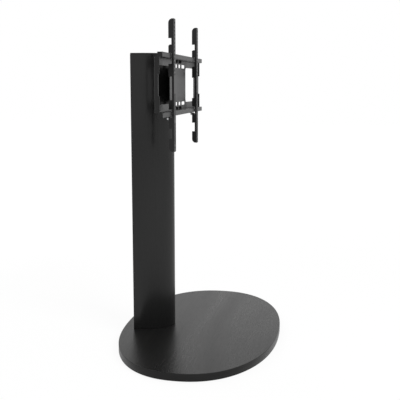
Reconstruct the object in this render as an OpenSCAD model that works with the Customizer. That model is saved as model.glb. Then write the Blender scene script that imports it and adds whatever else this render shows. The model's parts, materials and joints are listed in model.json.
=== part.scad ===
// Floor stand for a flat screen: an oval base board, a tall column with a flat back and a
// rounded nose, and a pressed steel plate with two rails that carry two hook-on arms.
// The screen's side faces -Y and up is +Z. The origin is on the floor, under the middle
// of the oval board.

/* [Base board] */
// Width of the oval board, side to side
base_w = 935; // [840:5:1150]
// Depth of the oval board, front to back
base_d = 560; // [500:5:680]
// Thickness of the board
base_t = 25; // [18:1:36]
// Squareness of the oval, where 2 is a true ellipse
base_squareness = 2.22; // [2:0.02:2.8]
// Diameter of one glide
glide_dia = 32; // [22:1:40]
// Height of one glide
glide_h = 3; // [3:0.5:5]
// Diameter of a glide screw
glide_screw_dia = 4; // [3:0.5:4]
// Length of a glide screw
glide_screw_l = 14; // [10:1:16]
// How far the ring of glides lies in from the board's edge
glide_inset = 62; // [50:1:80]

/* [Reinforcing plate] */
// Width of the steel plate let into the underside
under_w = 250; // [220:5:260]
// Depth of that plate, front to back
under_d = 130; // [110:5:140]
// Thickness of that plate
under_t = 6; // [6:0.5:8]

/* [Column] */
// Height of the column above the board, with its cap
column_h = 982; // [800:1:1300]
// How far the column's back stands in from the board's back edge
column_inset = 41.8; // [36:0.2:60]
// Width of the column at its back
column_w = 167; // [160:1:186]
// Depth of the column from its nose to its back
column_d = 135; // [130:1:150]
// Depth of the straight sides behind the nose
side_d = 24; // [16:1:32]
// Squareness of the rounded nose, where 2 is half an ellipse
nose_squareness = 1.75; // [1.7:0.05:2.2]
// Thickness of the curved shell
shell_t = 12; // [8:1:14]
// Thickness of the top cap
cap_t = 4; // [3:0.5:8]
// Thickness of the rear panel
panel_t = 6; // [4:0.5:9]
// Thickness of each rib inside the column
rib_t = 12; // [9:1:16]
// Diameter of the cable holes in the rear panel
cable_hole_dia = 50; // [36:1:60]
// How far the upper cable hole lies below the column's top
cable_drop = 280; // [60:5:320]
// Height of the lower cable hole above the board
cable_rise = 120; // [105:5:180]

/* [Steel spine] */
// Width of the rectangular steel tube
spine_w = 80; // [76:1:86]
// Depth of the tube
spine_d = 40; // [34:1:46]
// Wall thickness of the tube
spine_wall = 2.5; // [2:0.5:4]
// Thickness of the plate welded under the tube
foot_t = 8; // [6:1:12]
// Diameter of the bolts that hold the spine to the board
foot_bolt_dia = 8; // [6:1:8]

/* [Wall plate] */
// How far the middle of the plate lies below the column's top
mount_drop = 108.6; // [105:0.2:140]
// Width of the plate, over both ends
plate_w = 684; // [600:2:760]
// Height over the two rails
rails_h = 201; // [196:1:206]
// Depth from the rails' front to the back of the plate
plate_d = 26; // [24:1:30]
// Thickness of the steel sheet
sheet_t = 2; // [1.5:0.1:2.5]
// Outer radius of the bends in the sheet
bend_r = 2.4; // [2:0.1:3]
// Height of one rail's upright lip
lip_h = 15.5; // [14:0.5:17]
// Depth of the folded tab at each end of a rail
tab_d = 16; // [10:0.5:18]
// Width of one window in the plate
window_w = 164; // [140:2:180]
// Height of the windows
window_h = 124; // [100:1:130]
// Radius of the windows' corners
window_r = 12; // [2:0.5:14]
// Depth of the flange folded forward at each end
end_flange_d = 16.2; // [13:0.1:19]
// How far the middle of an end flange steps back
end_step_d = 4.5; // [3:0.1:8]
// Height of that step
end_step_h = 68; // [50:1:90]
// Gap between the plate and the nose of the column
nose_gap = 13.2; // [10:0.2:20]

/* [Plate bolts] */
// Diameter of the bolts through the plate
mount_bolt_dia = 6; // [5:0.5:6]
// Length of those bolts under the head
mount_bolt_l = 65; // [60:1:74]
// Distance between the bolts, side to side
mount_bolt_dx = 60; // [50:1:60]
// Distance between the bolts, up and down
mount_bolt_dz = 159; // [153:1:159]
// Outer diameter of the spacer sleeves
sleeve_dia = 14; // [12:0.5:15]

/* [Arms] */
// Height of one arm
arm_h = 427; // [425:1:450]
// Distance between the two arms
arm_spacing = 400; // [380:5:420]
// Thickness of the arms' steel
arm_t = 2; // [1.5:0.1:2.5]
// Outer radius of the bend between web and flange
arm_bend_r = 1; // [0.4:0.1:3]
// Width of the front flange
flange_w = 27; // [25:1:36]
// Depth of the web at its blocks
web_d = 18; // [17:0.5:19]
// Gap from the arms' narrow strip to the front of the rails
arm_gap = 0.9; // [0.5:0.1:1.2]
// Width of the web's narrow strip beside the rails
strip_w = 7; // [6:0.5:8]
// Width of the web in its two outer notches
thin_strip_w = 8; // [5:0.5:9]
// Width and height of the screen's screw pattern
pattern = 400; // [400:1:404]
// Distance from the web's outer face to the row of holes
hole_row_x = 13.5; // [12.5:0.5:15]
// Diameter of the screw holes
hole_dia = 8.5; // [5:0.5:9]
// Distance between two holes in the row
hole_pitch = 12.5; // [11:0.5:13.5]
// Number of holes in the upper row
hole_count = 14; // [10:1:15]

/* [Locking screws] */
// Diameter of a locking screw
lock_dia = 4; // [3:0.5:5]
// Diameter of its head
lock_head_dia = 7; // [6:0.5:9]
// Height of its head
lock_head_h = 6.5; // [4:0.5:8]
// Travel of a locking screw when it is backed off
lock_travel = 15; // [14:0.5:20]

/* [Hidden] */

// How far every cut runs past the face it starts from
overrun = 1;
// Gap between pieces that are glued or seated together
seat_gap = 0.1;
// Radial clearance of a bolt in its hole
bolt_gap = 0.25;
// Radial clearance of a bolt in the thread it is turned into
thread_gap = 0.05;
// Facets of a full circle
round_fn = 96;
small_fn = 48;

// Board and glides
base_steps = 160;
glide_turns = [22.5, 67.5];
base_floor = glide_h;
board_top = glide_h + base_t;
// Share of the depth and the diameter that a countersunk screw head takes
head_share = 0.5;
head_dia_share = 2;

// Column in plan: straight sides from the back, then a nose that is half an oval
nose_steps = 64;
back_y = base_d / 2 - column_inset;
nose_y = back_y - column_d;
nose_cy = back_y - side_d;
nose_half_w = column_w / 2;
nose_d = column_d - side_d;
column_top = board_top + column_h;
shell_top = column_top - cap_t;
// How far the cap's edge lies in from the shell's face
cap_inset = 0.5;

// Ribs
rib_inset = shell_t + seat_gap;
rib_back_y = back_y - panel_t - seat_gap;
rib_low_h = 50;
rib_low_z = board_top + rib_low_h;
rib_mid_z = board_top + (column_h - rib_t) / 2;
rib_high_z = shell_top - rib_t - seat_gap;
cable_notch_w = spine_w - 10;

// Spine
spine_gap = 1;
spine_nose_gap = 3;
spine_y = nose_cy - nose_reach(spine_w / 2, shell_t) + spine_nose_gap;
spine_back_y = spine_y + spine_d;
foot_top = board_top + foot_t;
spine_top = shell_top - spine_gap;
foot_inset = shell_t + spine_gap;
foot_back_y = rib_back_y - 3;
foot_bolt_edge = 9;
foot_bolt_x = spine_w / 2 + foot_bolt_edge;
foot_bolt_ys = [spine_back_y - foot_bolt_dia, foot_back_y - foot_bolt_edge];
foot_bolt_floor = base_floor + seat_gap;
under_y = (foot_bolt_ys[0] + foot_bolt_ys[1]) / 2;
under_r = 12;

// Rear panel
panel_gap = 0.5;
panel_low_z = board_top + panel_gap;
panel_high_z = shell_top - panel_gap;
panel_screw_x = column_w * 0.32;
panel_screw_dia = 4;
panel_screw_l = 28;
cable_zs = [board_top + cable_rise, column_top - cable_drop];
grommet_wall = 3;
grommet_lip = 4;
grommet_lip_t = 2;
grommet_back = 3;

// Wall plate
mount_z = column_top - mount_drop;
lip_y = nose_y - nose_gap - plate_d;
plate_back_y = lip_y + plate_d;
plate_front_y = plate_back_y - sheet_t;
plate_x = plate_w / 2;
rail_top = rails_h / 2;
shelf_z = rail_top - lip_h;
shelf_top = shelf_z + sheet_t;
window_edge = 47;
window_cx = plate_x - window_edge - window_w / 2;
slot_z = 65;
slot_h = 12;
inner_slot = [10, 45];
outer_slot = [61, 119];
mount_head_dia = mount_bolt_dia * 1.625;
mount_socket_share = 0.45;
mount_nut_wall = 1.6;
mount_nut_l = 12;
mount_nut_flange = 1;

// Arms, with heights measured from the middle of the arm
arm_drop = 3.5;
arm_z = mount_z - arm_drop;
arm_front_y = lip_y - arm_gap - strip_w;
arm_back_y = arm_front_y + web_d;
hang_gap = 0.3;
hook_z = rail_top + arm_drop + hang_gap;
tooth_h = 11;
lip_slot_back = lip_y + sheet_t + 1;
lift_room = 18;
hook_block_h = 27.5;
upper_notch_h = 20;
upper_block_h = 40;
lower_gap = 6;
lower_block_h = 30.5;
lock_block_gap = 5;
lock_block_h = 35.5;
lower_notch_h = 32.5;
upper_block_top = shelf_z + arm_drop - lift_room;
lower_block_low = -shelf_z + arm_drop + lower_gap;
lock_block_top = -rail_top + arm_drop - lock_block_gap;
lock_block_low = lock_block_top - lock_block_h;
arm_corner_r = 14;
hook_corner_r = 6;
flange_corner_r = 4;
slot_spans = [[24, 110], [118, 189]];

// Locking screws and the tab that each is turned into
lock_tab_t = 2.2;
lock_tab_w = 14;
lock_x = 8;
lock_y = arm_back_y + 4;
lock_tab_front = lip_y + 4;
lock_tab_back = lock_y + lock_dia / 2 + 3;
lock_tip_z = -shelf_top + arm_drop - hang_gap;
lock_head_z = lock_block_top - hang_gap - lock_head_h;
lock_cross_share = 0.5;

// An oval is |x/a|^n + |y/b|^n = 1, walked round at even angles
function oval_reach(angle, a, b, n) =
    pow(pow(abs(cos(angle)) / a, n) + pow(abs(sin(angle)) / b, n), -1 / n);
function oval_point(angle, a, b, n) =
    oval_reach(angle, a, b, n) * [cos(angle), sin(angle)];
function oval_share(part) = pow(part, 2 / base_squareness);

// How far the nose, inset from its face, reaches in front of its centre at a distance x from the middle
function nose_reach(x, inset) =
    (nose_d - inset) * pow(
        1 - pow(x / (nose_half_w - inset), nose_squareness), 1 / nose_squareness
    );

// Solid with the column's plan, inset from its face and cut off square at the back
module column_prism(inset, z, h, back) {
    a = nose_half_w - inset;
    b = nose_d - inset;
    translate([0, nose_cy, z])
        linear_extrude(h)
            polygon(concat(
                [[a, back - nose_cy]],
                [for (i = [0 : nose_steps]) oval_point(-180 * i / nose_steps, a, b, nose_squareness)],
                [[-a, back - nose_cy]]
            ));
}

// Places its children at the spots of a list
module at_each(spots) {
    for (spot = spots)
        translate(spot)
            children();
}

// Cylinder along +Y from the plane y, round the axis at x and z
module along_y(x, y, z, r, l) {
    translate([x, y, z])
        rotate([-90, 0, 0])
            cylinder(r = r, h = l, $fn = small_fn);
}

// Slot along X through a sheet, from x0 to x1, cut along Y
module slot_cut(x0, x1, y, z, h, t) {
    translate([x0 + h / 2, y, z - h / 2])
        cube([x1 - x0 - h, t, h]);
    along_y(x0 + h / 2, y, z, h / 2, t);
    along_y(x1 - h / 2, y, z, h / 2, t);
}

// Plate with round corners, lying in XY, centred on the origin
module round_plate(w, d, r, t) {
    translate([-w / 2 + r, -d / 2, 0])
        cube([w - r * 2, d, t]);
    translate([-w / 2, -d / 2 + r, 0])
        cube([w, d - r * 2, t]);
    for (sx = [-1, 1], sy = [-1, 1])
        translate([sx * (w / 2 - r), sy * (d / 2 - r), 0])
            cylinder(r = r, h = t, $fn = small_fn);
}

glide_spots = [
    for (sx = [-1, 1], sy = [-1, 1], turn = glide_turns)
        let (a = base_w / 2 - glide_inset, b = base_d / 2 - glide_inset)
            [sx * a * oval_share(cos(turn)), sy * b * oval_share(sin(turn)), 0]
];
foot_spots = [for (sx = [-1, 1], y = foot_bolt_ys) [sx * foot_bolt_x, y, 0]];
mount_spots = [
    for (sx = [-1, 1], sz = [-1, 1])
        [sx * mount_bolt_dx / 2, 0, mount_z + sz * mount_bolt_dz / 2]
];
rib_zs = [rib_low_z, rib_mid_z, rib_high_z];
panel_screw_spots = [
    for (sx = [-1, 1], z = rib_zs) [sx * panel_screw_x, 0, z + rib_t / 2]
];

// Countersunk bolt standing upright, its head's flat face at z = 0
module countersunk(dia, l, gap) {
    head_r = dia * head_dia_share / 2;
    head_h = dia * head_share;
    cylinder(r1 = head_r + gap, r2 = dia / 2 + gap, h = head_h, $fn = small_fn);
    cylinder(r = dia / 2 + gap, h = l, $fn = small_fn);
}

module base_board() {
    color([0.13, 0.13, 0.13])
        difference() {
            translate([0, 0, base_floor])
                linear_extrude(base_t)
                    polygon([
                        for (i = [0 : base_steps - 1])
                            oval_point(360 * i / base_steps, base_w / 2, base_d / 2, base_squareness)
                    ]);
            translate([0, under_y, base_floor - overrun])
                round_plate(
                    under_w + seat_gap * 2, under_d + seat_gap * 2,
                    under_r + seat_gap, under_t + overrun
                );
            at_each(foot_spots)
                translate([0, 0, base_floor - overrun])
                    cylinder(r = foot_bolt_dia / 2 + bolt_gap, h = base_t + overrun * 2, $fn = small_fn);
            at_each(glide_spots)
                translate([0, 0, base_floor - overrun])
                    cylinder(
                        r = glide_screw_dia / 2 + thread_gap,
                        h = glide_screw_l - glide_h + overrun * 2, $fn = small_fn
                    );
        }
}

module reinforcing_plate() {
    color([0.2, 0.2, 0.2])
        difference() {
            translate([0, under_y, base_floor])
                round_plate(under_w, under_d, under_r, under_t - seat_gap);
            at_each(foot_spots) {
                translate([0, 0, foot_bolt_floor])
                    countersunk(foot_bolt_dia, under_t + foot_bolt_dia, bolt_gap);
                translate([0, 0, base_floor - overrun])
                    cylinder(
                        r = foot_bolt_dia * head_dia_share / 2 + bolt_gap,
                        h = overrun + seat_gap, $fn = small_fn
                    );
            }
        }
}

module base_glides() {
    color([0.06, 0.06, 0.06])
        at_each(glide_spots)
            difference() {
                cylinder(d = glide_dia, h = glide_h - seat_gap, $fn = small_fn);
                translate([0, 0, glide_h * (1 - head_share) / 2])
                    countersunk(glide_screw_dia, glide_h + overrun, bolt_gap);
                translate([0, 0, -overrun])
                    cylinder(
                        r = glide_screw_dia * head_dia_share / 2 + bolt_gap,
                        h = overrun + glide_h * (1 - head_share) / 2, $fn = small_fn
                    );
            }
}

module glide_screws() {
    color([0.7, 0.7, 0.7])
        at_each(glide_spots)
            translate([0, 0, glide_h * (1 - head_share) / 2])
                countersunk(glide_screw_dia, glide_screw_l - glide_h * (1 - head_share) / 2, 0);
}

module spine_foot_plate() {
    color([0.25, 0.25, 0.25])
        difference() {
            column_prism(foot_inset, board_top, foot_t, foot_back_y);
            at_each(foot_spots)
                translate([0, 0, board_top - overrun])
                    cylinder(r = foot_bolt_dia / 2 + thread_gap, h = foot_t + overrun * 2, $fn = small_fn);
        }
}

module spine_tube() {
    color([0.25, 0.25, 0.25])
        difference() {
            translate([-spine_w / 2, spine_y, foot_top])
                cube([spine_w, spine_d, spine_top - foot_top]);
            translate([-spine_w / 2 + spine_wall, spine_y + spine_wall, foot_top - overrun])
                cube([
                    spine_w - spine_wall * 2, spine_d - spine_wall * 2,
                    spine_top - foot_top + overrun * 2
                ]);
            for (spot = mount_spots)
                along_y(
                    spot[0], spine_y - overrun, spot[2],
                    mount_bolt_dia / 2 + mount_nut_wall + seat_gap, spine_wall + overrun * 2
                );
        }
}

module foot_bolts() {
    color([0.7, 0.7, 0.7])
        at_each(foot_spots)
            translate([0, 0, foot_bolt_floor])
                countersunk(foot_bolt_dia, foot_top - foot_bolt_floor, 0);
}

module column_shell() {
    color([0.12, 0.12, 0.12])
        difference() {
            column_prism(0, board_top, shell_top - board_top, back_y);
            column_prism(
                shell_t, board_top - overrun, shell_top - board_top + overrun * 2, back_y + overrun
            );
            for (spot = mount_spots)
                along_y(
                    spot[0], nose_y - overrun, spot[2],
                    sleeve_dia / 2 + bolt_gap, spine_y - nose_y + overrun
                );
        }
}

// Rib glued inside the shell, open round the spine and behind it for cables
module column_rib(z) {
    color([0.55, 0.42, 0.3])
        difference() {
            column_prism(rib_inset, z, rib_t, rib_back_y);
            translate([-spine_w / 2 - seat_gap, spine_y - seat_gap, z - overrun])
                cube([spine_w + seat_gap * 2, spine_d + seat_gap * 2, rib_t + overrun * 2]);
            translate([-cable_notch_w / 2, spine_y, z - overrun])
                cube([cable_notch_w, back_y - spine_y, rib_t + overrun * 2]);
            for (sx = [-1, 1])
                along_y(
                    sx * panel_screw_x, back_y - panel_screw_l - overrun, z + rib_t / 2,
                    panel_screw_dia / 2 + thread_gap, panel_screw_l + overrun * 2
                );
        }
}

module column_rib_lower() {
    column_rib(rib_low_z);
}

module column_rib_middle() {
    column_rib(rib_mid_z);
}

module column_rib_upper() {
    column_rib(rib_high_z);
}

module column_top_cap() {
    color([0.1, 0.1, 0.1])
        column_prism(cap_inset, shell_top, cap_t, back_y - cap_inset);
}

module rear_panel() {
    hole_r = cable_hole_dia / 2 + grommet_wall + seat_gap;
    color([0.12, 0.12, 0.12])
        difference() {
            intersection() {
                column_prism(shell_t + panel_gap, panel_low_z, panel_high_z - panel_low_z, back_y);
                translate([-column_w, back_y - panel_t, panel_low_z])
                    cube([column_w * 2, panel_t, panel_high_z - panel_low_z]);
            }
            for (z = cable_zs)
                along_y(0, back_y - panel_t - overrun, z, hole_r, panel_t + overrun * 2);
            for (spot = panel_screw_spots)
                translate([spot[0], back_y, spot[2]])
                    rotate([90, 0, 0])
                        countersunk(panel_screw_dia, panel_t + overrun, bolt_gap);
        }
}

module rear_panel_screws() {
    color([0.08, 0.08, 0.08])
        for (spot = panel_screw_spots)
            translate([spot[0], back_y, spot[2]])
                rotate([90, 0, 0])
                    countersunk(panel_screw_dia, panel_screw_l, 0);
}

// Flanged ring round a cable hole, its lip outside the rear panel
module cable_grommet(z) {
    r = cable_hole_dia / 2;
    inner_l = panel_t + grommet_back;
    color([0.05, 0.05, 0.05])
        difference() {
            union() {
                along_y(0, back_y - inner_l, z, r + grommet_wall, inner_l);
                along_y(0, back_y, z, r + grommet_wall + grommet_lip, grommet_lip_t);
            }
            along_y(0, back_y - inner_l - overrun, z, r, inner_l + grommet_lip_t + overrun * 2);
        }
}

module cable_grommet_upper() {
    cable_grommet(cable_zs[1]);
}

module cable_grommet_lower() {
    cable_grommet(cable_zs[0]);
}

module mount_sleeves() {
    color([0.1, 0.1, 0.1])
        for (spot = mount_spots)
            difference() {
                along_y(
                    spot[0], plate_back_y, spot[2], sleeve_dia / 2,
                    spine_y - mount_nut_flange - plate_back_y
                );
                along_y(
                    spot[0], plate_back_y - overrun, spot[2],
                    mount_bolt_dia / 2 + bolt_gap, spine_y - plate_back_y + overrun * 2
                );
            }
}

// Flanged rivet nuts set in the front wall of the spine
module mount_nuts() {
    r = mount_bolt_dia / 2;
    color([0.7, 0.7, 0.7])
        for (spot = mount_spots)
            difference() {
                union() {
                    along_y(
                        spot[0], spine_y - mount_nut_flange, spot[2],
                        sleeve_dia / 2, mount_nut_flange
                    );
                    along_y(spot[0], spine_y - mount_nut_flange, spot[2], r + mount_nut_wall, mount_nut_l);
                }
                along_y(
                    spot[0], spine_y - mount_nut_flange - overrun, spot[2],
                    r + thread_gap, mount_nut_l + overrun * 2
                );
            }
}

// Socket head bolts through the plate and the sleeves into the spine
module mount_bolts() {
    color([0.07, 0.07, 0.07])
        for (spot = mount_spots)
            difference() {
                union() {
                    along_y(spot[0], plate_front_y - mount_bolt_dia, spot[2], mount_head_dia / 2, mount_bolt_dia);
                    along_y(
                        spot[0], plate_front_y - overrun, spot[2],
                        mount_bolt_dia / 2, mount_bolt_l + overrun
                    );
                }
                translate([spot[0], plate_front_y - mount_bolt_dia - overrun, spot[2]])
                    rotate([-90, 0, 0])
                        cylinder(
                            d = mount_head_dia * mount_socket_share * 2 / sqrt(3),
                            h = mount_bolt_dia / 2 + overrun, $fn = 6
                        );
            }
}

// Cutter that rounds a long edge off: the edge runs along +Z and its arc is round the origin
module edge_cutter(r, l) {
    difference() {
        translate([0, 0, -overrun])
            cube([r + overrun, r + overrun, l + overrun * 2]);
        translate([0, 0, -overrun * 2])
            cylinder(r = r, h = l + overrun * 4, $fn = small_fn);
    }
}

// Rounds the plate's long bends, one at the back of a shelf and one under or over its lip
module long_bends(side) {
    translate([-plate_x, plate_back_y - bend_r, mount_z + side * (shelf_top - bend_r)])
        rotate([90, 0, 90])
            mirror([0, side > 0 ? 0 : 1, 0])
                edge_cutter(bend_r, plate_w);
    translate([-plate_x, lip_y + bend_r, mount_z + side * (shelf_z + bend_r)])
        rotate([90, 0, 90])
            mirror([1, 0, 0])
                mirror([0, side > 0 ? 1 : 0, 0])
                    edge_cutter(bend_r, plate_w);
}

// Rounds the upright bends at one end, at the back of the sheet and at the front of both lips
module end_bends(side) {
    x = side * (plate_x - bend_r);
    translate([x, plate_back_y - bend_r, mount_z - shelf_top])
        mirror([side > 0 ? 0 : 1, 0, 0])
            edge_cutter(bend_r, shelf_top * 2);
    translate([x, lip_y + bend_r, mount_z - rail_top])
        mirror([side > 0 ? 0 : 1, 0, 0])
            mirror([0, 1, 0])
                edge_cutter(bend_r, rails_h);
}

// One rail: a shelf that runs forward from the sheet and the lip that stands on its front
module rail(side) {
    z0 = side > 0 ? mount_z + shelf_z : mount_z - shelf_top;
    lip_z = side > 0 ? mount_z + shelf_z : mount_z - rail_top;
    translate([-plate_x, lip_y, z0])
        cube([plate_w, plate_d, sheet_t]);
    translate([-plate_x, lip_y, lip_z])
        cube([plate_w, sheet_t, lip_h]);
    for (x = [-plate_x, plate_x - sheet_t])
        translate([x, lip_y, lip_z])
            cube([sheet_t, tab_d, lip_h]);
}

module end_flange(x) {
    translate([x, plate_back_y, mount_z])
        difference() {
            translate([0, -end_flange_d, -shelf_top])
                cube([sheet_t, end_flange_d, shelf_top * 2]);
            translate([-overrun, -end_flange_d - overrun, -end_step_h / 2])
                cube([sheet_t + overrun * 2, end_step_d + overrun, end_step_h]);
        }
}

module window_cut(x) {
    translate([x, plate_front_y - overrun, mount_z])
        rotate([-90, 0, 0])
            round_plate(window_w, window_h, window_r, sheet_t + overrun * 2);
}

module wall_plate() {
    cut_t = sheet_t + overrun * 2;
    cut_y = plate_front_y - overrun;
    color([0.1, 0.1, 0.1])
        difference() {
            union() {
                translate([-plate_x, plate_front_y, mount_z - shelf_top])
                    cube([plate_w, sheet_t, shelf_top * 2]);
                rail(1);
                rail(-1);
                end_flange(-plate_x);
                end_flange(plate_x - sheet_t);
            }
            for (side = [-1, 1]) {
                long_bends(side);
                end_bends(side);
                window_cut(side * window_cx);
                for (sz = [-1, 1])
                    for (span = [inner_slot, outer_slot])
                        slot_cut(
                            side > 0 ? span[0] : -span[1], side > 0 ? span[1] : -span[0],
                            cut_y, mount_z + sz * slot_z, slot_h, cut_t
                        );
            }
            for (spot = mount_spots)
                along_y(spot[0], cut_y, spot[2], mount_bolt_dia / 2 + bolt_gap, cut_t);
        }
}

// Notch into the web from behind, from z0 up to z1, leaving a strip of the given width
module web_notch(z0, z1, strip) {
    translate([-overrun, strip, z0])
        cube([arm_t + overrun * 2, web_d - strip + overrun, z1 - z0]);
}

// Removes the square corner outside a round corner of radius r at the web's back edge
module web_corner(z, r, up) {
    translate([-overrun, web_d - r, up > 0 ? z - r : z])
        difference() {
            cube([arm_t + overrun * 2, r + overrun, r]);
            translate([-overrun, 0, up > 0 ? 0 : r])
                rotate([0, 90, 0])
                    cylinder(r = r, h = arm_t + overrun * 4, $fn = small_fn);
        }
}

// Removes the square corner outside a round corner at the flange's free edge
module flange_corner(z, up) {
    r = flange_corner_r;
    translate([flange_w - r, -overrun, up > 0 ? z - r : z])
        difference() {
            cube([r + overrun, arm_t + overrun * 2, r + overrun * (up > 0 ? 1 : 0)]);
            translate([0, -overrun, up > 0 ? 0 : r])
                rotate([-90, 0, 0])
                    cylinder(r = r, h = arm_t + overrun * 4, $fn = small_fn);
        }
}

// Angle section of the arm: web along Y, flange along X, with a round outer bend
module arm_section() {
    difference() {
        union() {
            square([flange_w, arm_t]);
            square([arm_t, web_d]);
        }
        difference() {
            translate([-overrun, -overrun])
                square([arm_bend_r + overrun, arm_bend_r + overrun]);
            translate([arm_bend_r, arm_bend_r])
                circle(r = arm_bend_r, $fn = small_fn);
            translate([arm_bend_r, -overrun * 2])
                square([arm_bend_r, arm_bend_r + overrun * 2]);
            translate([-overrun * 2, arm_bend_r])
                square([arm_bend_r + overrun * 2, arm_bend_r]);
        }
    }
}

// One arm, its web's outer face in the plane x
module arm(x) {
    end_z = arm_h / 2;
    tooth_y = lip_slot_back - arm_front_y;
    color([0.1, 0.1, 0.1])
        translate([x, arm_front_y, arm_z]) {
            difference() {
                translate([0, 0, -end_z])
                    linear_extrude(arm_h)
                        arm_section();
                web_notch(hook_z + hook_block_h, hook_z + hook_block_h + upper_notch_h, thin_strip_w);
                web_notch(upper_block_top, hook_z - tooth_h, strip_w);
                translate([-overrun, strip_w, hook_z - tooth_h - overrun])
                    cube([arm_t + overrun * 2, tooth_y - strip_w, tooth_h + overrun]);
                web_notch(lower_block_low + lower_block_h, upper_block_top - upper_block_h, strip_w);
                web_notch(lock_block_top, lower_block_low, strip_w);
                web_notch(lock_block_low - lower_notch_h, lock_block_low, thin_strip_w);
                web_corner(end_z, arm_corner_r, 1);
                web_corner(-end_z, arm_corner_r, -1);
                web_corner(hook_z + hook_block_h, hook_corner_r, 1);
                flange_corner(end_z, 1);
                flange_corner(-end_z, -1);
                for (i = [0 : hole_count - 1])
                    along_y(
                        hole_row_x, -overrun, pattern / 2 - i * hole_pitch,
                        hole_dia / 2, arm_t + overrun * 2
                    );
                along_y(hole_row_x, -overrun, -pattern / 2, hole_dia / 2, arm_t + overrun * 2);
                for (span = slot_spans)
                    flange_slot(-span[0], span[1] - span[0]);
            }
            lock_tab();
        }
}

// Upright slot of length l in the flange, running down from z
module flange_slot(z, l) {
    r = hole_dia / 2;
    along_y(hole_row_x, -overrun, z - r, r, arm_t + overrun * 2);
    along_y(hole_row_x, -overrun, z - l + r, r, arm_t + overrun * 2);
    translate([hole_row_x - r, -overrun, z - l + r])
        cube([hole_dia, arm_t + overrun * 2, l - hole_dia]);
}

// Tab folded from the top of the web's lower block, with the thread of the locking screw
module lock_tab() {
    y0 = lock_tab_front - arm_front_y;
    translate([0, y0, lock_block_top - arm_t])
        cube([arm_t, web_d - y0, lock_tab_t + arm_t]);
    difference() {
        translate([0, y0, lock_block_top])
            cube([lock_tab_w, lock_tab_back - lock_tab_front, lock_tab_t]);
        translate([lock_x, lock_y - arm_front_y, lock_block_top - overrun])
            cylinder(r = lock_dia / 2 + thread_gap, h = lock_tab_t + overrun * 2, $fn = small_fn);
    }
}

module lock_screw(x) {
    color([0.8, 0.8, 0.8])
        translate([x + lock_x, lock_y, arm_z])
            difference() {
                union() {
                    translate([0, 0, lock_head_z])
                        cylinder(d = lock_head_dia, h = lock_head_h, $fn = small_fn);
                    translate([0, 0, lock_head_z])
                        cylinder(d = lock_dia, h = lock_tip_z - lock_head_z, $fn = small_fn);
                }
                translate([0, 0, lock_head_z - overrun])
                    cylinder(
                        d = lock_head_dia * lock_cross_share,
                        h = lock_head_h * lock_cross_share + overrun, $fn = 6
                    );
            }
}

arm_left_x = -arm_spacing / 2 - hole_row_x;
arm_right_x = arm_spacing / 2 - hole_row_x;

module arm_left() {
    arm(arm_left_x);
}

module arm_right() {
    arm(arm_right_x);
}

module lock_screw_left() {
    lock_screw(arm_left_x);
}

module lock_screw_right() {
    lock_screw(arm_right_x);
}

base_board();
reinforcing_plate();
base_glides();
glide_screws();
spine_foot_plate();
spine_tube();
foot_bolts();
column_shell();
column_rib_lower();
column_rib_middle();
column_rib_upper();
column_top_cap();
rear_panel();
rear_panel_screws();
cable_grommet_upper();
cable_grommet_lower();
mount_sleeves();
mount_nuts();
mount_bolts();
wall_plate();
arm_left();
arm_right();
lock_screw_left();
lock_screw_right();
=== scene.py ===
import json
import math

import bmesh
import bpy
import numpy as np
from mathutils import Euler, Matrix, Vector


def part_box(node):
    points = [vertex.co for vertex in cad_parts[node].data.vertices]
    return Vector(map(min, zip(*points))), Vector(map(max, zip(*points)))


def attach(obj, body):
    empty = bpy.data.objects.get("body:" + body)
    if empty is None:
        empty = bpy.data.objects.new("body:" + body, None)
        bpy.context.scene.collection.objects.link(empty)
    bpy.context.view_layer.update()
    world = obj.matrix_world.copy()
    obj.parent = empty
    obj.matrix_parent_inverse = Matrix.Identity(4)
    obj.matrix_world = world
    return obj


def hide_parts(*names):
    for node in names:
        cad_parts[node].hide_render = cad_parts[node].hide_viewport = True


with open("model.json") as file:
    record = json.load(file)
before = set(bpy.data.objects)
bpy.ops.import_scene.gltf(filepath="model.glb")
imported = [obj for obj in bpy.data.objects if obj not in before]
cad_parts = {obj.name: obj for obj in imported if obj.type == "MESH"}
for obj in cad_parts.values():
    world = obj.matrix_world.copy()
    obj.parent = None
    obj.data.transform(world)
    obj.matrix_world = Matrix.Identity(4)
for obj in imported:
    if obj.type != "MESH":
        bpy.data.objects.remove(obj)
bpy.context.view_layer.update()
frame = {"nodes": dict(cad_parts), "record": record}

nodes = frame["nodes"]

# the camera stands where the photograph was taken from: metres, degrees, and the lens in mm
cameraSettings = {
    "place": (-2.5567, -0.4541, 0.9015), "pitch": 81.0885, "turn": -79.72,
    "lens": 66.03, "sensor": 36, "seesTo": 60,
}
cameraData = bpy.data.cameras.new("camera")
cameraData.lens = cameraSettings["lens"]
cameraData.sensor_width = cameraSettings["sensor"]
cameraData.clip_end = cameraSettings["seesTo"]
camera = bpy.data.objects.new("camera", cameraData)
camera.location = cameraSettings["place"]
pitch, turn = math.radians(cameraSettings["pitch"]), math.radians(cameraSettings["turn"])
camera.rotation_euler = Euler((pitch, 0, turn))
bpy.context.scene.collection.objects.link(camera)
bpy.context.scene.camera = camera
bpy.context.scene.view_settings.view_transform = "Standard"
print("camera set")


# A socket that can be used in sums: every sum adds one Math node to its board
class Wire:
    def __init__(self, board, socket):
        self.board = board
        self.socket = socket

    def math(self, operation, first, second=0.0):
        return self.board.add("ShaderNodeMath", {"operation": operation}, {0: first, 1: second})

    def __add__(self, other):
        return self.math("ADD", self, other)

    def __radd__(self, other):
        return self.math("ADD", other, self)

    def __sub__(self, other):
        return self.math("SUBTRACT", self, other)

    def __rsub__(self, other):
        return self.math("SUBTRACT", other, self)

    def __mul__(self, other):
        return self.math("MULTIPLY", self, other)

    def __rmul__(self, other):
        return self.math("MULTIPLY", other, self)


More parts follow.
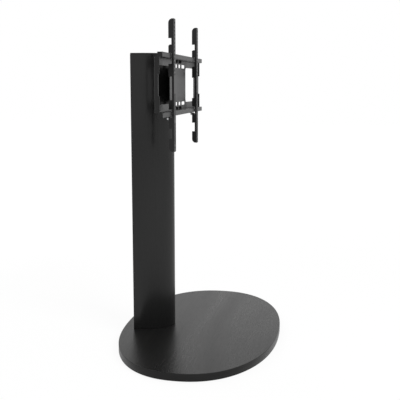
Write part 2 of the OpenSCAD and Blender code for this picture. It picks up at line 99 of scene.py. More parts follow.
# One material or world: its nodes come from add, and from sums of its wires
class Board:
    def __init__(self, name, world=False):
        self.owner = bpy.data.worlds.new(name) if world else bpy.data.materials.new(name)
        self.owner.use_nodes = True
        self.tree = self.owner.node_tree
        self.tree.nodes.clear()

    # settings, such as a Math node's operation, are set before the sockets
    def add(self, kind, settings=None, inputs=None, out=0):
        node = self.tree.nodes.new(kind)
        for key, value in (settings or {}).items():
            setattr(node, key, value)
        for key, value in (inputs or {}).items():
            socket = node.inputs[key]
            if isinstance(value, Wire):
                self.tree.links.new(value.socket, socket)
            else:
                socket.default_value = value
        return Wire(self, node.outputs[out]) if len(node.outputs) else node

    def coordinates(self, source, scale=(1, 1, 1)):
        place = self.add("ShaderNodeTexCoord", out=source)
        return self.add("ShaderNodeMapping", None, {"Vector": place, "Scale": scale})

    def noise(self, where, scale, detail=3.0, rough=0.55):
        return self.add(
            "ShaderNodeTexNoise", None,
            {"Vector": where, "Scale": scale, "Detail": detail, "Roughness": rough},
        )

    # 0 at low and 1 at high, cut off outside them
    def step(self, value, low, high):
        return self.add("ShaderNodeMapRange", None, {"Value": value, "From Min": low, "From Max": high})

    # the Mix node's two colours are its sockets 6 and 7, and its mixed colour is output 2
    def tint(self, factor, dark, light):
        return self.add(
            "ShaderNodeMix", {"data_type": "RGBA", "clamp_factor": True},
            {0: factor, 6: (*dark, 1), 7: (*light, 1)}, out=2,
        )

    def bump(self, height, distance):
        return self.add("ShaderNodeBump", None, {"Height": height, "Distance": distance})

    def ray(self, kind):
        return self.add("ShaderNodeLightPath", out=kind)

    def shade(self, **sockets):
        names = {key: key.replace("_", " ") for key in sockets}
        names["Specular_Level"] = "Specular IOR Level"
        values = {names[key]: value for key, value in sockets.items()}
        shader = self.add("ShaderNodeBsdfPrincipled", None, values)
        self.add("ShaderNodeOutputMaterial", None, {"Surface": shader})
        return self.owner


# Oak's patterns: repeats per metre along and across the grain, then the noise's detail and roughness
oakGrain = {
    "pores": (26, 620, 3.0, 0.6), "streaks": (3.5, 130, 3.0, 0.6), "bend": (1.7, 5.5, 2.0, 0.5),
    "rings": (0.35, 1.6, 1.0, 0.55), "band": (0.9, 9, 2.0, 0.55), "ringCount": 34, "ringBend": 7,
    "poreShare": 0.7, "streakShare": 0.3, "figureShare": 0.05, "poreEdge": (0.40, 0.55), "figureBump": 0.35,
}


# Black stain over open-pored oak. The grain runs along the first coordinate: fine pores as short
# dashes with a slow cathedral figure under them. A lacquer share adds a smoother gloss on top
def blackOak(name, settings, source="UV", grain=(1, 0, 0)):
    board = Board(name)

    def pattern(kind):
        along, across, detail, rough = oakGrain[kind]
        scale = tuple(along if way else across for way in grain)
        return board.noise(board.coordinates(source, scale), 1.0, detail, rough)

    pores = pattern("pores")
    streaks = pattern("streaks")
    bend = pattern("bend")
    rings = pattern("rings") * oakGrain["ringCount"] + bend * oakGrain["ringBend"]
    figure = 0.5 + 0.5 * rings.math("SINE", rings)
    band = pattern("band")
    height = pores * oakGrain["poreShare"] + streaks * oakGrain["streakShare"]
    groove = board.step(height - oakGrain["figureShare"] * figure, *oakGrain["poreEdge"])
    shares = settings["mottle"]
    mottle = shares[0] * groove + shares[1] * figure + shares[2] * streaks + shares[3] * band
    return board.shade(
        Base_Color=board.tint(mottle, settings["dark"], settings["light"]),
        Roughness=settings["rough"] - settings["poreGloss"] * groove - settings["figureGloss"] * figure,
        Specular_Level=settings["level"],
        Normal=board.bump(groove + oakGrain["figureBump"] * figure, settings["bump"]),
        Coat_Weight=settings["lacquer"], Coat_Roughness=settings["lacquerRough"],
    )


# mottle holds the shares of groove, figure, streaks and band in the stain's colour
boardOak = blackOak("boardOak", {
    "dark": (0.0004, 0.0004, 0.0004), "light": (0.0130, 0.0128, 0.0125), "mottle": (0.26, 0.26, 0.36, 0.28),
    "level": 0.203, "rough": 0.365, "poreGloss": 0.05, "figureGloss": 0.06, "bump": 0.00007,
    "lacquer": 0.0, "lacquerRough": 0.2,
})
columnOak = blackOak("columnOak", {
    "dark": (0.0008, 0.0008, 0.0008), "light": (0.0050, 0.0050, 0.0049), "mottle": (0.30, 0.30, 0.25, 0.35),
    "level": 0.165, "rough": 0.44, "poreGloss": 0.05, "figureGloss": 0.03, "bump": 0.00003,
    "lacquer": 0.43, "lacquerRough": 0.19,
})
panelOak = blackOak("panelOak", {
    "dark": (0.0012, 0.0012, 0.0012), "light": (0.0065, 0.0064, 0.0062), "mottle": (0.30, 0.30, 0.25, 0.35),
    "level": 0.38, "rough": 0.55, "poreGloss": 0.08, "figureGloss": 0.04, "bump": 0.00011,
    "lacquer": 0.0, "lacquerRough": 0.2,
}, "Object", (0, 0, 1))

# peel, cloud and marks are the noises' scale, detail and roughness; rub stretches the marks upwards
coatGrain = {
    "peel": (1100.0, 2.0, 0.5), "cloud": (16.0, 3.0), "rub": (30, 30, 9), "marks": (1.0, 5.0, 0.7),
    "cloudColour": 0.7, "cloudGloss": 0.6, "bump": 0.00005,
}


# Satin powder coat: a fine orange peel, with slow clouds and faint rub marks in its colour and gloss
def powderCoat(name, settings):
    board = Board(name)
    place = board.coordinates("Object")
    peel = board.noise(place, *coatGrain["peel"])
    cloud = board.noise(place, *coatGrain["cloud"])
    rub = board.noise(board.coordinates("Object", coatGrain["rub"]), *coatGrain["marks"])
    low, high = settings["rough"]
    colourShare, glossShare = coatGrain["cloudColour"], coatGrain["cloudGloss"]
    colourMix = cloud * colourShare + rub * (1 - colourShare)
    return board.shade(
        Base_Color=board.tint(colourMix, settings["dark"], settings["light"]),
        Roughness=low + (high - low) * (glossShare * cloud + (1 - glossShare) * rub),
        Specular_Level=settings["level"], Normal=board.bump(peel, coatGrain["bump"]),
    )


coat = powderCoat("blackPowderCoat", {
    "dark": (0.0020, 0.0020, 0.0020), "light": (0.0055, 0.0055, 0.0055), "rough": (0.36, 0.46), "level": 0.34,
})
primer = powderCoat("greyPrimer", {
    "dark": (0.020, 0.020, 0.022), "light": (0.034, 0.034, 0.036), "rough": (0.5, 0.65), "level": 0.19,
})
oxide = powderCoat("blackOxide", {
    "dark": (0.003, 0.003, 0.0033), "light": (0.007, 0.007, 0.0075), "rough": (0.34, 0.46), "level": 0.12,
})


# Plated steel, blotched, with fine turning marks. blotch and fine are noises as above
def plainSteel(name, settings):
    board = Board(name)
    blotch = board.noise(board.coordinates("Object"), *settings["blotch"])
    marks = board.noise(board.coordinates("Object", settings["marks"]), *settings["fine"])
    low, high = settings["rough"]
    return board.shade(
        Base_Color=board.tint(blotch, settings["dark"], settings["light"]), Metallic=1.0,
        Roughness=low + (high - low) * blotch, Normal=board.bump(marks, settings["bump"]),
    )


zinc = plainSteel("brightZinc", {
    "dark": (0.46, 0.465, 0.475), "light": (0.74, 0.745, 0.75), "rough": (0.20, 0.40),
    "blotch": (140.0, 4.0, 0.6), "marks": (900, 900, 5200), "fine": (1.0, 2.0), "bump": 0.00002,
})


# Moulded plastic with a fine leather-like texture
def mouldedPlastic(name, settings):
    board = Board(name)
    place = board.coordinates("Object")
    grain = board.add("ShaderNodeTexVoronoi", None, {"Vector": place, "Scale": settings["grain"]})
    cloud = board.noise(place, settings["cloud"])
    return board.shade(
        Base_Color=board.tint(cloud, settings["dark"], settings["light"]),
        Roughness=settings["rough"] + settings["cloudGloss"] * cloud,
        Specular_Level=settings["level"], Normal=board.bump(grain, settings["bump"]),
    )


plastic = mouldedPlastic("blackPlastic", {
    "dark": (0.010, 0.010, 0.010), "light": (0.022, 0.022, 0.022), "rough": 0.48, "cloudGloss": 0.16,
    "level": 0.4, "grain": 1500.0, "cloud": 40.0, "bump": 0.00004,
})


# Raw fibreboard: fine speckle with slow clouds, in flat layers
def fibreboard(name, settings):
    board = Board(name)
    place = board.coordinates("Object", settings["layers"])
    speckle = board.noise(place, *settings["speckle"])
    cloud = board.noise(place, settings["cloud"])
    share = settings["speckleShare"]
    return board.shade(
        Base_Color=board.tint(speckle * share + cloud * (1 - share), settings["dark"], settings["light"]),
        Roughness=settings["rough"] + settings["cloudGloss"] * cloud,
        Specular_Level=settings["level"], Normal=board.bump(speckle, settings["bump"]),
    )


rawBoard = fibreboard("rawFibreboard", {
    "dark": (0.20, 0.13, 0.075), "light": (0.42, 0.29, 0.18), "rough": 0.8, "cloudGloss": 0.1, "level": 0.2,
    "layers": (1, 1, 3), "speckle": (700.0, 4.0, 0.7), "cloud": 20.0, "speckleShare": 0.6, "bump": 0.0001,
})

slotFinish = {
    "black_oak": boardOak, "black_edge": panelOak, "black_panel": panelOak, "rib_board": rawBoard,
    "black_steel": coat, "grey_steel": primer, "black_bolt": oxide, "zinc": zinc, "black_plastic": plastic,
}
nodeSlot = {part["node"]: part["material_slot"] for part in frame["record"]["subparts"]}
for nodeName, slotName in nodeSlot.items():
    mesh = nodes[nodeName].data
    mesh.materials.clear()
    mesh.materials.append(slotFinish[slotName])
print("finishes made")

# distances in metres, angles in degrees
meshSettings = {
    "join": 1e-6, "tiny": 1e-9, "flat": 0.5, "sharp": 30,
    "easeFrom": 35, "easeSegments": 2, "cornerPoints": 5,
}


# Quads over a grid of points that is closed round its columns, and round its rows where asked
def gridFaces(rows, columns, closedRows=False):
    row = np.arange(rows if closedRows else rows - 1)[:, None]
    column = np.arange(columns)[None, :]
    nextRow = (row + 1) % rows
    nextColumn = (column + 1) % columns
    corners = (row * columns + column, row * columns + nextColumn,
               nextRow * columns + nextColumn, nextRow * columns + column)
    return np.stack(corners, axis=-1).reshape(-1, 4)


# Makes a piece of points and faces, joins its poles and turns its faces outwards
def makePiece(name, points, faces, material, body, nodeName, uv=None, bevel=0.0):
    mesh = bpy.data.meshes.new(name)
    mesh.from_pydata(np.asarray(points).reshape(-1, 3).tolist(), [], [list(face) for face in faces])
    if uv is not None:
        layer = mesh.uv_layers.new(name="grain")
        layer.data.foreach_set("uv", np.asarray(uv, dtype=np.float32).ravel())
    shell = bmesh.new()
    shell.from_mesh(mesh)
    bmesh.ops.remove_doubles(shell, verts=shell.verts[:], dist=meshSettings["join"])
    bmesh.ops.recalc_face_normals(shell, faces=shell.faces[:])
    shell.to_mesh(mesh)
    shell.free()
    return dress(name, mesh, material, body, nodeName, bevel)


# Shades a mesh smooth up to an angle, eases its sharp edges and sets it on its body
def dress(name, mesh, material, body, nodeName, bevel):
    mesh.materials.clear()
    mesh.materials.append(material)
    mesh.polygons.foreach_set("use_smooth", np.ones(len(mesh.polygons), dtype=bool))
    mesh.set_sharp_from_angle(angle=math.radians(meshSettings["sharp"]))
    piece = bpy.data.objects.new(name, mesh)
    bpy.context.scene.collection.objects.link(piece)
    if bevel:
        ease = piece.modifiers.new("easedEdges", "BEVEL")
        ease.width = bevel
        ease.segments = meshSettings["easeSegments"]
        ease.limit_method = "ANGLE"
        ease.angle_limit = math.radians(meshSettings["easeFrom"])
        ease.harden_normals = True
    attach(piece, body)
    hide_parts(nodeName)
    return piece


# The node's own shape, its loose triangles joined and its flat faces cleared, with eased edges
def easedCopy(nodeName, pieceName, body, material, bevel):
    mesh = nodes[nodeName].data.copy()
    mesh.name = pieceName
    shell = bmesh.new()
    shell.from_mesh(mesh)
    bmesh.ops.remove_doubles(shell, verts=shell.verts[:], dist=meshSettings["join"])
    bmesh.ops.dissolve_limit(
        shell, angle_limit=math.radians(meshSettings["flat"]), verts=shell.verts[:], edges=shell.edges[:],
    )
    shell.to_mesh(mesh)
    shell.free()
    return dress(pieceName, mesh, material, body, nodeName, bevel)


# Turned pieces: a profile of (radius, height) rows carried round an axis at each spot. The rows
# named in hexRows follow a hexagon, whose flats are at the radius. relief changes the radii from
# the angles and heights
def turned(name, profile, spots, axis, material, body, nodeName, columns,
           hexRows=slice(0), relief=None, closed=False):
    radius, height = (np.array(part, dtype=float)[:, None] for part in zip(*profile))
    angle = np.linspace(0, 2 * math.pi, columns, endpoint=False)[None, :]
    sector = math.pi / 3
    hexagon = 1 / np.cos(np.mod(angle, sector) - sector / 2)
    isHex = np.zeros((len(profile), 1), dtype=bool)
    isHex[hexRows] = True
    reach = radius * np.where(isHex, hexagon, 1.0)
    if relief:
        reach = relief(angle, height, reach)
    up = Vector(axis)
    side = Vector((1, 0, 0))
    other = up.cross(side)
    place = (np.cos(angle) * reach)[..., None] * np.array(side)
    place = place + (np.sin(angle) * reach)[..., None] * np.array(other)
    place = place + (height + 0 * angle)[..., None] * np.array(up)
    faces = gridFaces(len(profile), columns, closed)
    points = np.concatenate([(place + np.array(spot)).reshape(-1, 3) for spot in spots])
    allFaces = np.concatenate([faces + number * len(profile) * columns for number in range(len(spots))])
    return makePiece(name, points, allFaces, material, body, nodeName)


# Quarter turn of the given radius, as (inset, height) rows: up from low, or in towards high
def easedCorner(radius, low, high, up):
    turn = np.linspace(0, math.pi / 2, meshSettings["cornerPoints"])
    if up:
        return list(zip(radius * (1 - np.sin(turn)), low + radius * (1 - np.cos(turn))))
    return list(zip(radius * (1 - np.cos(turn)), high - radius * (1 - np.sin(turn))))


# nearEdge and topShares are where the flat faces get extra rows, edgeShift moves the edge's grain
boardSettings = {
    "width": 0.935, "depth": 0.560, "low": 0.003, "high": 0.028, "squareness": 2.22, "ease": 0.0016,
    "pocketGap": 0.0001, "pocketRadius": 0.0121, "pocketDepth": 0.006, "columns": 360, "farthest": 1.2,
    "halvings": 48, "nearEdge": (0.0025, 0.004), "topShares": (0.66, 0.33, 0.0), "edgeShift": 1.0,
}


# Oval base board: rings round the middle of the pocket under it, from the pocket's ceiling out
# along the underside, up the eased edge and back in over the top. The oval is |x/a|^n + |y/b|^n = 1
def baseBoard(settings):
    low, high, columns = settings["low"], settings["high"], settings["columns"]
    corner = np.array(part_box("reinforcing_plate"))
    middle = (corner[0][:2] + corner[1][:2]) / 2
    half = (corner[1][:2] - corner[0][:2]) / 2 + settings["pocketGap"]
    angle = np.linspace(0, 2 * math.pi, columns, endpoint=False)
    way = np.stack([np.cos(angle), np.sin(angle)], axis=1)
    inner, outer = np.zeros(columns), np.full(columns, settings["farthest"])
    halfSize = np.array([settings["width"], settings["depth"]]) / 2
    for _ in range(settings["halvings"]):  # halving, all angles at once
        reach = (inner + outer) / 2
        spot = np.abs(middle + way * reach[:, None]) / halfSize
        inside = (spot ** settings["squareness"]).sum(axis=1) < 1
        inner, outer = np.where(inside, reach, inner), np.where(inside, outer, reach)
    oval = middle + way * inner[:, None]
    along = np.roll(oval, -1, axis=0) - np.roll(oval, 1, axis=0)
    length = np.linalg.norm(along, axis=1, keepdims=True)
    inward = np.stack([-along[:, 1], along[:, 0]], axis=1) / length

    # the pocket is a rectangle with round corners, reached along the same rays
    radius, tiny = settings["pocketRadius"], meshSettings["tiny"]
    straight = half - radius
    onRectangle = way * (half / np.abs(way).clip(tiny)).min(axis=1)[:, None]
    flat = np.clip(onRectangle, -straight, straight)
    bow = onRectangle - flat
    bowLength = np.linalg.norm(bow, axis=1, keepdims=True).clip(tiny)
    pocket = middle + flat + bow / bowLength * radius
    ceiling = low + settings["pocketDepth"]

    ease = settings["ease"]
    edge = easedCorner(ease, low, high, True) + easedCorner(ease, low, high, False)
    underside = [(inset, low) for inset in reversed(settings["nearEdge"])]
    rows = [(middle + 0 * way, ceiling), (pocket, ceiling), (pocket, low)]
    rows += [(oval + inward * inset, height) for inset, height in underside + edge]
    rows += [(oval + inward * inset, high) for inset in settings["nearEdge"]]
    rows += [(middle + (oval - middle) * share, high) for share in settings["topShares"]]
    points = np.stack([np.column_stack([ring, np.full(columns, height)]) for ring, height in rows])
    faces = gridFaces(len(rows), columns)

    # grain: the plan itself on the flat faces, and the way travelled round the oval on the edge
    step = np.linalg.norm(np.diff(oval, axis=0, append=oval[:1]), axis=1)
    travel = np.concatenate([[0.0], np.cumsum(step)])
    flatUv = points.reshape(-1, 3)[faces][..., :2]
    row = np.arange(len(faces)) // columns
    column = np.arange(len(faces)) % columns
    start, end = travel[column], travel[column + 1]
    height = points.reshape(-1, 3)[faces][..., 2]
    edgeUv = np.stack([np.stack([start, end, end, start], axis=1), height + settings["edgeShift"]], axis=-1)
    firstEdge = 2 + len(underside)
    isEdge = (row > firstEdge) & (row <= firstEdge + len(edge) - 1)
    uv = np.where(isEdge[:, None, None], edgeUv, flatUv)
    return makePiece("baseBoard", points, faces, boardOak, "stand", "base_board", uv)


baseBoard(boardSettings)

columnSettings = {
    "low": 0.028, "high": 1.006, "width": 0.167, "depth": 0.135, "side": 0.024, "back": 0.2382,
    "squareness": 1.75, "wall": 0.012, "ease": 0.0006, "sideSteps": 6, "noseSteps": 120, "rows": 10,
}


# The column's plan: straight sides at the back and a nose that is half an oval,
# |x/a|^n + |y/b|^n = 1. An inset shortens a and b alike
def columnPath(settings, inset, back):
    middle = settings["back"] - settings["side"]
    across = settings["width"] / 2 - inset
    ahead = settings["depth"] - settings["side"] - inset
    power = settings["squareness"]
    turn = np.linspace(0, -math.pi, settings["noseSteps"] + 1)
    reach = (np.abs(np.cos(turn) / across) ** power + np.abs(np.sin(turn) / ahead) ** power) ** (-1 / power)
    nose = reach[:, None] * np.stack([np.cos(turn), np.sin(turn)], axis=1) + np.array([0, middle])
    sideY = np.linspace(back, middle, settings["sideSteps"], endpoint=False)
    right = np.stack([np.full(len(sideY), across), sideY], axis=1)
    left = right[::-1] * np.array([-1, 1])
    return np.concatenate([right, nose, left])


# Column shell: the plan's outer and inner paths joined into one loop and carried straight up, with
# the wall's two end faces closed. Its grain runs upwards
def columnShell(settings):
    outer = columnPath(settings, 0, settings["back"])
    inner = columnPath(settings, settings["wall"], settings["back"])
    loop = np.concatenate([outer, inner[::-1]])
    count, columns = len(outer), len(loop)
    heights = np.linspace(settings["low"], settings["high"], settings["rows"])
    points = np.stack([np.column_stack([loop, np.full(columns, height)]) for height in heights])
    side = gridFaces(len(heights), columns)
    near = np.arange(count - 1)
    cap = np.stack([near, near + 1, columns - 2 - near, columns - 1 - near], axis=1)
    faces = np.concatenate([side, cap, cap + columns * (len(heights) - 1)])
    flat = points.reshape(-1, 3)
    step = np.linalg.norm(np.diff(loop, axis=0, append=loop[:1]), axis=1)
    travel = np.concatenate([[0.0], np.cumsum(step)])
    column = np.arange(len(side)) % columns
    start, end = travel[column], travel[column + 1]
    sideUv = np.stack([flat[side][..., 2], np.stack([start, end, end, start], axis=1)], axis=-1)
    capUv = flat[faces[len(side):]][..., :2]
    uv = np.concatenate([sideUv, capUv])
    return makePiece("columnShell", points, faces, columnOak, "stand", "column_shell", uv, settings["ease"])


columnShell(columnSettings)

capSettings = {"inset": 0.0005, "thickness": 0.004, "ease": 0.0009}


# Top cap: the same plan a little smaller, closed by one face above and one below
def topCap(settings):
    path = columnPath(columnSettings, settings["inset"], columnSettings["back"] - settings["inset"])
    count = len(path)
    heights = (columnSettings["high"], columnSettings["high"] + settings["thickness"])
    points = np.stack([np.column_stack([path, np.full(count, height)]) for height in heights])
    around = list(range(count))
    faces = gridFaces(2, count).tolist() + [around, [number + count for number in around]]
    return makePiece("topCap", points, faces, panelOak, "stand", "column_top_cap", None, settings["ease"])


topCap(capSettings)

panelSettings = {"ease": 0.0004}
easedCopy("rear_panel", "rearPanel", "stand", panelOak, panelSettings["ease"])
print("board and column made")

steelSettings = {"ease": 0.0003, "plateEase": 0.0004}
easedCopy("wall_plate", "wallPlate", "stand", coat, steelSettings["ease"])
easedCopy("arm_left", "armLeft", "left_arm", coat, steelSettings["ease"])
easedCopy("arm_right", "armRight", "right_arm", coat, steelSettings["ease"])
easedCopy("reinforcing_plate", "reinforcingPlate", "stand", primer, steelSettings["plateEase"])
print("steel made")

# the bolts' places, then the shape: rim rounds the head, mouth and dip shape the hexagon socket
boltSettings = {
    "x": 0.030, "z": 0.0795, "middle": 0.9014, "face": 0.088, "radius": 0.003, "length": 0.065,
    "headRadius": 0.004875, "headHeight": 0.006, "rim": 0.0007, "rimShare": 0.3, "under": 0.0004,
    "flat": 0.0022, "depth": 0.003, "mouth": 0.0003, "dip": 0.0004, "dipStart": 0.0001, "dipShare": 0.7,
    "tip": 0.0005, "tipShare": 0.8, "columns": 144,
}


def boltSpots(settings):
    return [(x, settings["face"], settings["middle"] + z)
            for x in (-settings["x"], settings["x"]) for z in (-settings["z"], settings["z"])]


# Socket bolts that hold the plate: a head with an eased rim and a hexagon socket, and a shank
def mountBolts(s):
    head, rim, flat, mouth, under = s["headHeight"], s["rim"], s["flat"], s["mouth"], s["under"]
    wide, bottom, bend = s["headRadius"], s["headHeight"] - s["depth"], s["rim"] * s["rimShare"]
    socket = [(0, bottom - s["dip"]), (flat * s["dipShare"], bottom - s["dipStart"]),
              (flat, bottom), (flat, head - mouth), (flat + mouth, head)]
    top = [(wide - rim, head), (wide - bend, head - bend), (wide, head - rim),
           (wide, under), (wide - under, 0)]
    shank = [(s["radius"], 0), (s["radius"], s["tip"] - s["length"]),
             (s["radius"] * s["tipShare"], -s["length"]), (0, -s["length"])]
    turned("mountBolts", socket + top + shank, boltSpots(s), (0, -1, 0), oxide, "stand", "mount_bolts",
           s["columns"], slice(1, len(socket)))


mountBolts(boltSettings)

sleeveSettings = {"radius": 0.007, "bore": 0.00325, "ease": 0.0005, "columns": 64}


# Spacer sleeves between plate and column: plain tubes with eased rims
def mountSleeves(s, bolts):
    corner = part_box("mount_sleeves")
    high, ease, bore, radius = corner[1][1] - corner[0][1], s["ease"], s["bore"], s["radius"]
    profile = [(bore, ease), (bore + ease, 0), (radius - ease, 0), (radius, ease), (radius, high - ease),
               (radius - ease, high), (bore + ease, high), (bore, high - ease)]
    spots = [(x, corner[0][1], z) for x, _, z in boltSpots(bolts)]
    turned("mountSleeves", profile, spots, (0, 1, 0), coat, "stand", "mount_sleeves",
           s["columns"], closed=True)


mountSleeves(sleeveSettings, boltSettings)

# plainTip is the shank's end without thread, and tip its (inset, height) rows below the very end
lockSettings = {
    "headRadius": 0.0035, "headHeight": 0.0065, "rim": 0.0006, "rimShare": 0.3, "flat": 0.0014,
    "socket": 0.003, "dip": 0.0003, "mouth": 0.0002, "ribs": 24, "ribDepth": 0.00022, "ribRows": 0.9,
    "ribReach": 0.98, "radius": 0.002, "pitch": 0.0007, "threadDepth": 0.0003, "rowsPerTurn": 6,
    "neck": 0.0004, "plainTip": 0.0012, "threadFrom": 0.0002, "threadTo": 0.001,
    "tip": ((0.0007, 0.0002), (0.0009, 0.0)), "columns": 96,
}


# Locking screws: a ribbed head with a hexagon socket below, and a threaded shank that rises from it
def lockScrew(s, nodeName, pieceName, body):
    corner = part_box(nodeName)
    middle = [(corner[0][axis] + corner[1][axis]) / 2 for axis in range(2)]
    length = corner[1][2] - corner[0][2]
    head, rim, flat, mouth = s["headHeight"], s["rim"], s["flat"], s["mouth"]
    wide, radius, bend = s["headRadius"], s["radius"], s["rim"] * s["rimShare"]
    socket = [(0, s["socket"] + s["dip"]), (flat, s["socket"]), (flat, mouth), (flat + mouth, 0)]
    side = [(wide - rim, 0), (wide - bend, bend), (wide, rim), (wide, head - rim),
            (wide - bend, head - bend), (wide - rim, head), (radius, head)]
    count = int((length - head) / s["pitch"] * s["rowsPerTurn"])
    shank = [(radius, height) for height in np.linspace(head + s["neck"], length - s["plainTip"], count)]
    tip = [(radius - inset, length - below) for inset, below in s["tip"]] + [(0, length)]

    # ribs round the head; on the shank a groove that climbs one pitch each turn
    def threadAndRibs(angle, height, reach):
        low, high = rim * s["ribRows"], head - rim * s["ribRows"]
        onHead = (height > low) & (height < high) & (reach > wide * s["ribReach"])
        ribs = np.where(onHead, s["ribDepth"] * (0.5 + 0.5 * np.cos(angle * s["ribs"])), 0)
        onShank = (height > head + s["threadFrom"]) & (height < length - s["threadTo"])
        climb = np.cos(2 * math.pi * height / s["pitch"] - angle)
        return reach - ribs - np.where(onShank, s["threadDepth"] * (0.5 - 0.5 * climb), 0)

    turned(pieceName, socket + side + shank + tip, [(middle[0], middle[1], corner[0][2])], (0, 0, 1), zinc,
           body, nodeName, s["columns"], slice(1, len(socket)), threadAndRibs)


lockScrew(lockSettings, "lock_screw_left", "lockScrewLeft", "left_lock")
lockScrew(lockSettings, "lock_screw_right", "lockScrewRight", "right_lock")

# three sizes of screw, with the shape that they share: heads are headShare times the shank
screwSettings = {
    "rear": {"radius": 0.002, "length": 0.028, "flat": 0.00125, "socket": 0.0012},
    "glide": {"radius": 0.002, "length": 0.01325, "flat": 0.00125, "socket": 0.0012},
    "foot": {"radius": 0.004, "length": 0.0329, "flat": 0.003, "socket": 0.0035},
    "headShare": 2, "dip": 0.0003, "mouth": 0.0002, "rim": 0.0002, "rimBend": 0.0001,
    "tipShare": 0.5, "columns": 48,
}


# Countersunk screws with a hexagon socket: cone, shank and a closed end
def countersunkScrews(size, spots, axis, material, pieceName, nodeName):
    s, shared = screwSettings[size], screwSettings
    radius, length, flat, mouth = s["radius"], s["length"], s["flat"], shared["mouth"]
    wide, end = radius * shared["headShare"], radius * shared["tipShare"]
    socket = [(0, s["socket"] + shared["dip"]), (flat, s["socket"]), (flat, mouth), (flat + mouth, 0)]
    cone = [(wide - shared["rim"], 0), (wide - shared["rimBend"], shared["rim"]), (radius, radius)]
    shank = [(radius, length - end), (end, length), (0, length)]
    turned(pieceName, socket + cone + shank, spots, axis, material, "stand", nodeName, shared["columns"],
           slice(1, len(socket)))


rearScrewSettings = {"x": 0.05344, "y": 0.2382, "heights": (0.084, 0.519, 0.9999)}
rearSpots = [(x, rearScrewSettings["y"], z)
             for x in (-rearScrewSettings["x"], rearScrewSettings["x"]) for z in rearScrewSettings["heights"]]
countersunkScrews("rear", rearSpots, (0, -1, 0), oxide, "rearPanelScrews", "rear_panel_screws")

# glides stand on a smaller oval than the board's, at these turns in each quarter; rim holds the
# (inset, height) rows of the rounded lower rim
glideSettings = {
    "inset": 0.062, "turns": (22.5, 67.5), "radius": 0.016, "height": 0.0029, "bore": 0.00225,
    "cone": 0.00425, "coneStart": 0.00075, "coneHeight": 0.002, "mouth": 0.0003,
    "rim": ((0.0016, 0.0), (0.0005, 0.0005), (0.0, 0.0014)), "topRim": 0.0002, "columns": 64,
}


def ovalSpots(s, oval):
    power = 2 / oval["squareness"]
    across, ahead = oval["width"] / 2 - s["inset"], oval["depth"] / 2 - s["inset"]
    return [(sx * across * math.cos(turn) ** power, sy * ahead * math.sin(turn) ** power, 0.0)
            for sx in (-1, 1) for sy in (-1, 1) for turn in np.radians(s["turns"])]


glideSpots = ovalSpots(glideSettings, boardSettings)
glideScrewSpots = [(x, y, glideSettings["coneStart"]) for x, y, _ in glideSpots]
countersunkScrews("glide", glideScrewSpots, (0, 0, 1), zinc, "glideScrews", "glide_screws")
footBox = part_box("foot_bolts")
footInset = screwSettings["foot"]["radius"] * screwSettings["headShare"]
footSpots = [(x, y, footBox[0][2]) for x in (footBox[0][0] + footInset, footBox[1][0] - footInset)
             for y in (footBox[0][1] + footInset, footBox[1][1] - footInset)]
countersunkScrews("foot", footSpots, (0, 0, 1), zinc, "footBolts", "foot_bolts")


# Glides: discs with a rounded rim, open in the middle round the screw's cone
def baseGlides(s):
    high, cone, mouth = s["height"], s["coneStart"], s["mouth"]
    bore = [(s["bore"], high), (s["bore"], cone + s["coneHeight"]), (s["cone"], cone), (s["cone"], mouth),
            (s["cone"] + mouth, 0)]
    rim = [(s["radius"] - inset, height) for inset, height in s["rim"]]
    top = [(s["radius"], high - s["topRim"]), (s["radius"] - s["topRim"], high)]
    turned("baseGlides", bore + rim + top, glideSpots, (0, 0, 1), plastic, "stand", "base_glides",
           s["columns"], closed=True)


baseGlides(glideSettings)

# lipCurve holds (inset from the lip's rim, height) rows, and mouthCurve (outset from the bore, drop)
grommetSettings = {
    "bore": 0.025, "wall": 0.003, "lip": 0.004, "lipHeight": 0.002, "inner": 0.009, "back": 0.2382,
    "innerEase": 0.0004, "endInset": 0.0006, "endEase": 0.001, "columns": 96,
    "lipCurve": ((0.0002, 0.0), (0.0, 0.0003), (0.0002, 0.0009), (0.0008, 0.0016), (0.002, 0.002)),
    "mouthCurve": ((0.0018, 0.0), (0.0006, 0.0005), (0.0, 0.0016)),
}


# Grommets: a ring through the rear panel with a rounded lip outside it
def cableGrommet(s, nodeName, pieceName):
    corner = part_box(nodeName)
    middle = ((corner[0][0] + corner[1][0]) / 2, s["back"], (corner[0][2] + corner[1][2]) / 2)
    bore, end = s["bore"], -s["inner"]
    tube, lip = bore + s["wall"], bore + s["wall"] + s["lip"]
    inside = [(bore, end + s["innerEase"]), (bore + s["innerEase"], end), (tube - s["endInset"], end),
              (tube, end + s["endEase"]), (tube, 0)]
    outside = [(lip - inset, height) for inset, height in s["lipCurve"]]
    mouth = [(bore + outset, s["lipHeight"] - drop) for outset, drop in s["mouthCurve"]]
    turned(pieceName, inside + outside + mouth, [middle], (0, 1, 0), plastic, "stand", nodeName,
           s["columns"], closed=True)


cableGrommet(grommetSettings, "cable_grommet_upper", "cableGrommetUpper")
cableGrommet(grommetSettings, "cable_grommet_lower", "cableGrommetLower")
print("screws, glides and grommets made")

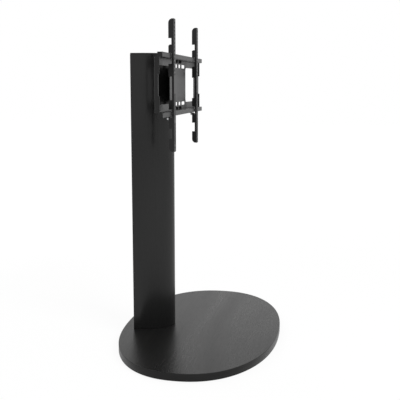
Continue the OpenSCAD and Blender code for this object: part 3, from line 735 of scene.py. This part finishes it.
# The floor is matt and takes the stand's shadow. What the camera and reflections see of it is mostly
# a plain pale glow, which takes over far from the stand, so that it ends in the pale background
floorSettings = {
    "matt": (0.86, 0.86, 0.86, 1), "glow": 1.02, "seen": 0.90, "reflected": 0.55, "near": 1.2, "far": 4.0,
    "halfSide": 14.0,
}
floorBoard = Board("paleFloor")
matt = floorBoard.add("ShaderNodeBsdfDiffuse", None, {"Color": floorSettings["matt"]})
glow = floorBoard.add("ShaderNodeEmission", None, {"Color": (1, 1, 1, 1), "Strength": floorSettings["glow"]})
place = floorBoard.coordinates("Object")
away = floorBoard.add("ShaderNodeVectorMath", {"operation": "LENGTH"}, {0: place}, out="Value")
far = floorBoard.step(away, floorSettings["near"], floorSettings["far"])
seenShare = floorSettings["seen"] + (1 - floorSettings["seen"]) * far
glowShare = floorBoard.ray("Is Camera Ray") * seenShare
glowShare = glowShare + floorBoard.ray("Is Glossy Ray") * floorSettings["reflected"]
floorMix = floorBoard.add("ShaderNodeMixShader", None, {0: glowShare, 1: matt, 2: glow})
floorBoard.add("ShaderNodeOutputMaterial", None, {"Surface": floorMix})
side = floorSettings["halfSide"]
floorMesh = bpy.data.meshes.new("floor")
corners = [(-side, -side, 0), (side, -side, 0), (side, side, 0), (-side, side, 0)]
floorMesh.from_pydata(corners, [], [(0, 1, 2, 3)])
floorMesh.materials.append(floorBoard.owner)
floor = bpy.data.objects.new("floor", floorMesh)
bpy.context.scene.collection.objects.link(floor)

# the world is white to the camera, to reflections and through glass, and lights the stand less
worldSettings = {"light": 0.45, "seen": ("Is Transmission Ray", "Is Glossy Ray")}
worldBoard = Board("paleWorld", True)
seen = worldBoard.ray("Is Camera Ray")
for kind in worldSettings["seen"]:
    seen = seen.math("MAXIMUM", seen, worldBoard.ray(kind))
strength = worldSettings["light"] + (1 - worldSettings["light"]) * seen
sky = worldBoard.add("ShaderNodeBackground", None, {"Color": (1, 1, 1, 1), "Strength": strength})
worldBoard.add("ShaderNodeOutputWorld", None, {"Surface": sky})
bpy.context.scene.world = worldBoard.owner

lampSettings = {
    "key": {"place": (-2.6, -3.0, 3.4), "aim": (0, 0, 0.6), "size": 2.6, "power": 150.0},
    "fill": {"place": (3.0, 2.6, 3.0), "aim": (0, 0, 0.6), "size": 3.0, "power": 90.0},
}
for name, lamp in lampSettings.items():
    data = bpy.data.lights.new(name, "AREA")
    data.size = lamp["size"]
    data.energy = lamp["power"]
    light = bpy.data.objects.new(name, data)
    light.location = lamp["place"]
    light.rotation_euler = (Vector(lamp["aim"]) - Vector(lamp["place"])).to_track_quat("-Z", "Y").to_euler()
    light.visible_glossy = False
    bpy.context.scene.collection.objects.link(light)
print("stage set")
